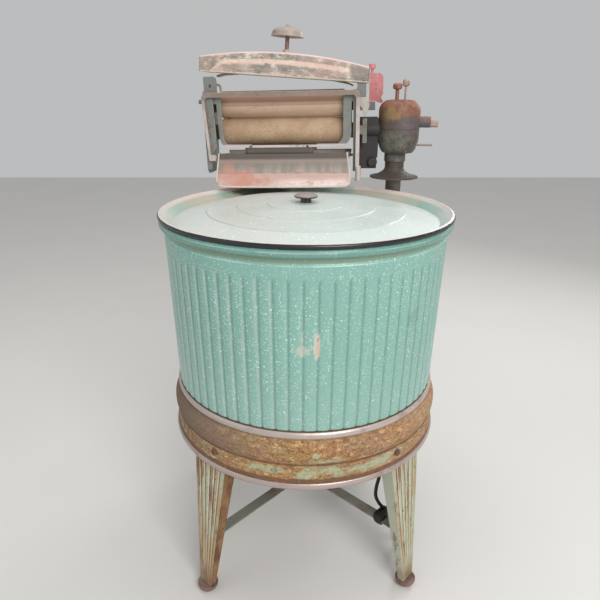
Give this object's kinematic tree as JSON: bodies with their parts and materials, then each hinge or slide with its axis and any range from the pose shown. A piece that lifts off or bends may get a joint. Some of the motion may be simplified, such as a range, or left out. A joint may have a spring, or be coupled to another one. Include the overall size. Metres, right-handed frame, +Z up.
{
  "type": "wringer washing machine",
  "caption": "Electric wringer washing machine: fluted enamel tub with a lid on a banded skirt and splayed legs, and a power wringer that swings on a post.",
  "frame": {"origin": "on the floor, on the tub's axis", "axes": "+X to the right seen from the front, +Y to the back, +Z up; the four legs stand on the diagonals"},
  "size_m": [0.6353, 0.7291, 1.186],
  "materials": {
    "tub_enamel": "gloss, chipped",
    "lid_enamel": "gloss, worn",
    "black_knob": "worn gloss",
    "skirt_paint": "rusted",
    "bead_aluminium": "dulled",
    "leg_paint": "chalky, rusted",
    "dark_iron": "rough",
    "motor_paint": "dull",
    "bright_steel": "worn",
    "cast_aluminium": "dull",
    "post_steel": "stained",
    "head_paint": "rusted",
    "frame_paint": "worn",
    "cover_metal": "worn",
    "lever_red": "gloss",
    "roll_rubber": "aged",
    "belt_rubber": "matt",
    "cord_rubber": "matt"
  },
  "bodies": {
    "base": {"tub": "tub_enamel", "skirt": "skirt_paint", "skirt_upper_bead": "bead_aluminium", "skirt_lower_bead": "bead_aluminium", "leg_front_left": "leg_paint", "leg_front_right": "leg_paint", "leg_rear_left": "leg_paint", "leg_rear_right": "leg_paint", "foot_glides": "dark_iron", "brace_bar_left": "dark_iron", "brace_bar_right": "dark_iron", "frame_bolts": "dark_iron", "gearcase": "dark_iron", "drive_belt": "belt_rubber", "motor": "motor_paint", "centre_tube": "cast_aluminium", "drain_elbow": "dark_iron", "post_base": "skirt_paint", "wringer_post": "post_steel", "post_collar": "post_steel", "power_cord": "cord_rubber", "cord_coil": "cord_rubber", "cord_gland": "cord_rubber", "cord_clip": "cord_rubber", "cord_plug": "black_knob"},
    "lid": {"lid": "lid_enamel", "lid_knob": "black_knob"},
    "agitator": {"agitator_shaft": "bright_steel", "agitator": "cast_aluminium"},
    "driven_pulley": {"driven_pulley": "dark_iron"},
    "motor_pulley": {"motor_pulley": "dark_iron"},
    "cross_shaft": {"cross_shaft": "dark_iron"},
    "post_drive_shaft": {"post_drive_shaft": "dark_iron"},
    "wringer": {"head_housing": "head_paint", "head_cap": "head_paint", "wringer_bracket": "frame_paint", "wringer_bolts": "bright_steel", "end_frame_left": "frame_paint", "end_frame_right": "frame_paint", "latch_casting": "cast_aluminium", "roll_bearings": "cast_aluminium", "feed_guard_front": "frame_paint", "feed_guard_rear": "frame_paint", "drainboard_front": "cover_metal", "drainboard_rear": "cover_metal"},
    "shift_lever": {"shift_lever": "head_paint"},
    "lock_plunger": {"lock_plunger": "cast_aluminium"},
    "lock_lever": {"lock_lever": "head_paint"},
    "lower_roll": {"lower_roll": "roll_rubber", "lower_roll_shaft": "bright_steel"},
    "upper_roll": {"upper_roll": "roll_rubber", "upper_roll_shaft": "bright_steel"},
    "release_bar": {"release_bar": "bright_steel"},
    "flipper_board": {"flipper_board": "frame_paint"},
    "top_cover": {"top_cover": "cover_metal", "pressure_spring": "bright_steel"},
    "pressure_screw": {"pressure_screw": "bright_steel", "pressure_knob": "cover_metal"},
    "release_lever": {"release_lever": "lever_red"},
    "cover_latch": {"cover_latch": "bright_steel"}
  },
  "joints": [
    {"name": "lid_tilt", "type": "hinge", "parent": "base", "child": "lid", "pos_m": [0, 0.305, 0.802], "axis": [-1, 0, 0], "range_deg": [0, 2.5]},
    {"name": "agitator_turn", "type": "hinge", "parent": "base", "child": "agitator", "pos_m": [0, 0, 0.5], "axis": [0, 0, 1], "range_deg": [-100, 100]},
    {"name": "driven_pulley_spin", "type": "hinge", "parent": "base", "child": "driven_pulley", "pos_m": [0, 0, 0.262], "axis": [0, 0, 1], "continuous": true},
    {"name": "motor_pulley_spin", "type": "hinge", "parent": "base", "child": "motor_pulley", "pos_m": [0.159, -0.092, 0.262], "axis": [0, 0, 1], "continuous": true},
    {"name": "cross_shaft_spin", "type": "hinge", "parent": "base", "child": "cross_shaft", "pos_m": [0.20238, 0.22146, 0.385], "axis": [0.6746, 0.7382, 0], "continuous": true},
    {"name": "post_drive_shaft_spin", "type": "hinge", "parent": "base", "child": "post_drive_shaft", "pos_m": [0.2323, 0.2542, 0.6], "axis": [0, 0, 1], "continuous": true},
    {"name": "wringer_swing", "type": "hinge", "parent": "base", "child": "wringer", "pos_m": [0.2323, 0.2542, 0.89], "axis": [0, 0, 1], "range_deg": [-180, 0]},
    {"name": "shift_lever_turn", "type": "hinge", "parent": "wringer", "child": "shift_lever", "pos_m": [0.22873, 0.2547, 1.05], "axis": [0, 0, 1], "range_deg": [-30, 30]},
    {"name": "lock_plunger_press", "type": "slide", "parent": "wringer", "child": "lock_plunger", "axis": [0, 0, -1], "range_m": [0, 0.008], "stiffness_N_per_m": 500, "springref_m": -0.004},
    {"name": "lock_lever_swing", "type": "hinge", "parent": "wringer", "child": "lock_lever", "pos_m": [0.26795, 0.24919, 0.916], "axis": [0, 0, 1], "range_deg": [-12, 12]},
    {"name": "lower_roll_spin", "type": "hinge", "parent": "wringer", "child": "lower_roll", "pos_m": [-0.04467, 0.29313, 0.94551], "axis": [0.99, -0.1391, 0.0253], "continuous": true},
    {"name": "upper_roll_spin", "type": "hinge", "parent": "wringer", "child": "upper_roll", "pos_m": [-0.04627, 0.29335, 1.00949], "axis": [0.99, -0.1391, 0.0253], "continuous": true},
    {"name": "release_bar_pull", "type": "hinge", "parent": "wringer", "child": "release_bar", "pos_m": [-0.05171, 0.23251, 0.88753], "axis": [0.99, -0.1391, 0.0253], "range_deg": [0, 15]},
    {"name": "flipper_board_tilt", "type": "hinge", "parent": "wringer", "child": "flipper_board", "pos_m": [-0.04317, 0.29291, 0.88553], "axis": [0.99, -0.1391, 0.0253], "range_deg": [-12, 12]},
    {"name": "top_cover_lift", "type": "hinge", "parent": "wringer", "child": "top_cover", "pos_m": [0.14943, 0.26585, 1.06651], "axis": [0.1392, 0.9903, 0], "range_deg": [-4.9, 60]},
    {"name": "pressure_screw_turn", "type": "hinge", "parent": "top_cover", "child": "pressure_screw", "pos_m": [-0.03447, 0.29169, 1.15902], "axis": [0.0605, -0.0085, 0.9981], "continuous": true},
    {"name": "release_lever_swing", "type": "hinge", "parent": "wringer", "child": "release_lever", "pos_m": [0.17764, 0.32247, 1.005], "axis": [0.1392, 0.9903, 0], "range_deg": [-30, 40]},
    {"name": "cover_latch_swing", "type": "hinge", "parent": "wringer", "child": "cover_latch", "pos_m": [-0.22642, 0.29847, 1.05097], "axis": [0.1392, 0.9903, 0], "range_deg": [-60, 8]}
  ],
  "couplings": [
    {"joint": "motor_pulley_spin", "follows": "driven_pulley_spin", "ratio": 4},
    {"joint": "upper_roll_spin", "follows": "lower_roll_spin", "ratio": -1},
    {"joint": "post_drive_shaft_spin", "follows": "lower_roll_spin", "ratio": -1},
    {"joint": "cross_shaft_spin", "follows": "lower_roll_spin", "ratio": -1}
  ]
}
